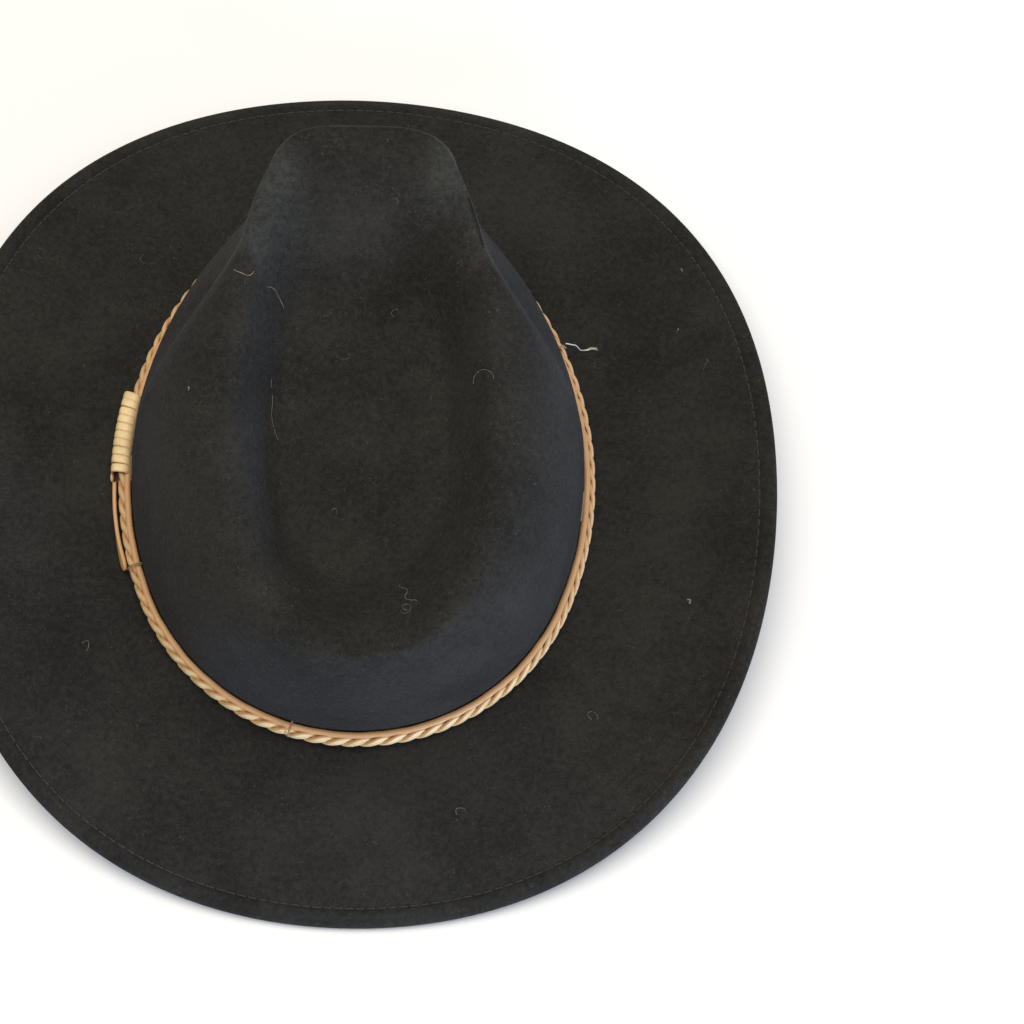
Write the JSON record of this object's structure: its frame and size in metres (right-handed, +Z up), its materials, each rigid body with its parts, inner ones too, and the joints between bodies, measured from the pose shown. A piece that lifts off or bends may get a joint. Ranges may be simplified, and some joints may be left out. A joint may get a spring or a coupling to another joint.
{
  "type": "wide-brimmed felt hat",
  "caption": "Wide-brimmed black felt hat with a pinched teardrop crown, wired brim hem, leather sweatband and plaited lace band with a wound keeper that slides on it.",
  "frame": {"origin": "on the surface the hat stands on, under the middle of its brim", "axes": "+Z up through the crown, +Y towards the front of the hat, +X towards the wearer's right"},
  "size_m": [0.319, 0.3384, 0.1239],
  "materials": {
    "felt": "napped wool felt",
    "wire": "drawn",
    "thread": "twisted sewing thread",
    "sweatband_leather": "smooth grain",
    "reed": "matte",
    "tape": "woven tape",
    "tab": "woven, blank",
    "lace": "natural veg-tanned lace",
    "tan_thread": "waxed thread",
    "pale_thread": "twisted sewing thread"
  },
  "bodies": {
    "hat": {"felt_crown": "felt", "felt_brim": "felt", "brim_wire": "wire", "wire_ferrule": "wire", "hem_thread": "thread", "sweatband": "sweatband_leather", "sweatband_reed": "reed", "reed_tape": "tape", "sweatband_thread": "thread", "rear_seam_tape": "tape", "size_tab": "tab", "rear_bow": "sweatband_leather", "band_lace_lower": "lace", "band_lace_middle": "lace", "band_lace_upper": "lace", "bar_tack_right": "tan_thread", "bar_tack_left": "tan_thread", "band_tacks": "thread", "loose_thread": "pale_thread"},
    "keeper": {"keeper_wrap": "lace", "lace_tail": "lace"}
  },
  "joints": [
    {"name": "keeper_slide", "type": "hinge", "parent": "hat", "child": "keeper", "pos_m": [0.0436, 0, 0.0232], "axis": [0, 0, 1], "range_deg": [-3, 3]}
  ]
}
